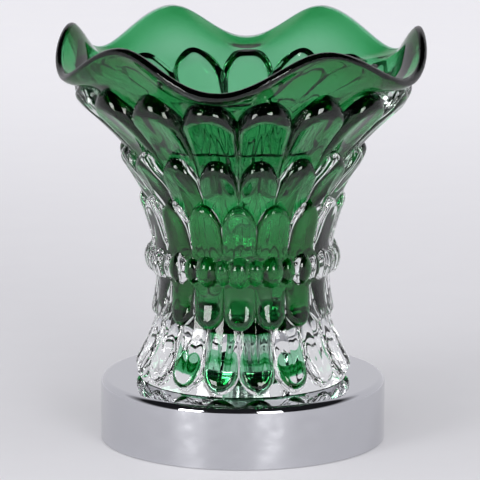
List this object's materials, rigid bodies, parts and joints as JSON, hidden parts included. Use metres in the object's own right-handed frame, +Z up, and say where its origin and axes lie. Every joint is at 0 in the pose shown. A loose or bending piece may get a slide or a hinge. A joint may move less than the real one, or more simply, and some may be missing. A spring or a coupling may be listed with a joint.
{
  "type": "electric aroma lamp",
  "caption": "Electric aroma lamp: a ruffled cased-glass shade with moulded petals and beads, clear over green, on a round chrome touch base, with an oil dish over a capsule bulb.",
  "frame": {"origin": "on the floor, under the middle of the round base", "axes": "+Z up, the front of the lamp towards -Y, +X to the right seen from the front"},
  "size_m": [0.154, 0.157, 0.1747],
  "materials": {
    "chrome": "bright polished chrome plate",
    "steel": "zinc-plated, satin",
    "brass": "plain brass",
    "clear_glass": "clear, fire-polished",
    "green_glass": "transparent green, fire-polished",
    "rubber": "matt black",
    "black_plastic": "fine moulded grain",
    "ceramic": "white steatite, unglazed",
    "white_plastic": "smooth moulded",
    "board_green": "green varnish",
    "tungsten": "drawn wire",
    "copper": "enamelled copper wire",
    "brown_sleeve": "wire insulation",
    "blue_sleeve": "wire insulation",
    "white_sleeve": "heat-proof wire sleeve",
    "yellow_sleeve": "insulation and resin"
  },
  "bodies": {
    "base": {"base_shell": "chrome", "bottom_cover": "steel", "cord_grommet": "rubber", "cover_post_1": "steel", "cover_post_2": "steel", "cover_post_3": "steel", "cover_screw_1": "steel", "cover_screw_2": "steel", "cover_screw_3": "steel", "dimmer_board": "board_green", "dimmer_capacitor": "yellow_sleeve", "dimmer_case": "black_plastic", "dimmer_chip": "black_plastic", "dimmer_coil": "copper", "dimmer_lid": "black_plastic", "dimmer_triac": "black_plastic", "glass_casing": "clear_glass", "glass_foot": "clear_glass", "green_lining": "green_glass", "holder_contact_1": "brass", "holder_contact_2": "brass", "holder_plate": "steel", "holder_screw_1": "steel", "holder_screw_2": "steel", "lamp_holder": "ceramic", "lamp_tube": "steel", "lamp_wire_1": "white_sleeve", "lamp_wire_2": "white_sleeve", "live_wire": "brown_sleeve", "neutral_wire": "blue_sleeve", "rubber_foot_1": "rubber", "rubber_foot_2": "rubber", "rubber_foot_3": "rubber", "shade_gallery": "chrome", "terminal_block": "white_plastic", "terminal_screw_1": "brass", "terminal_screw_2": "brass", "terminal_screw_3": "brass", "terminal_screw_4": "brass", "touch_lug": "brass", "touch_nut": "steel", "touch_stud": "steel", "touch_wire": "yellow_sleeve", "tube_nut_lower": "steel", "tube_nut_upper": "steel"},
    "bulb": {"bulb_pinch": "clear_glass", "bulb_envelope": "clear_glass", "bulb_filament": "tungsten", "bulb_pin_1": "steel", "bulb_pin_2": "steel"},
    "dish": {"oil_dish": "clear_glass"}
  },
  "joints": [
    {"name": "dish_lift", "type": "slide", "parent": "base", "child": "dish", "axis": [0, 0, 1], "range_m": [0, 0.06]},
    {"name": "bulb_pull", "type": "slide", "parent": "base", "child": "bulb", "axis": [0, 0, 1], "range_m": [0, 0.012]}
  ]
}
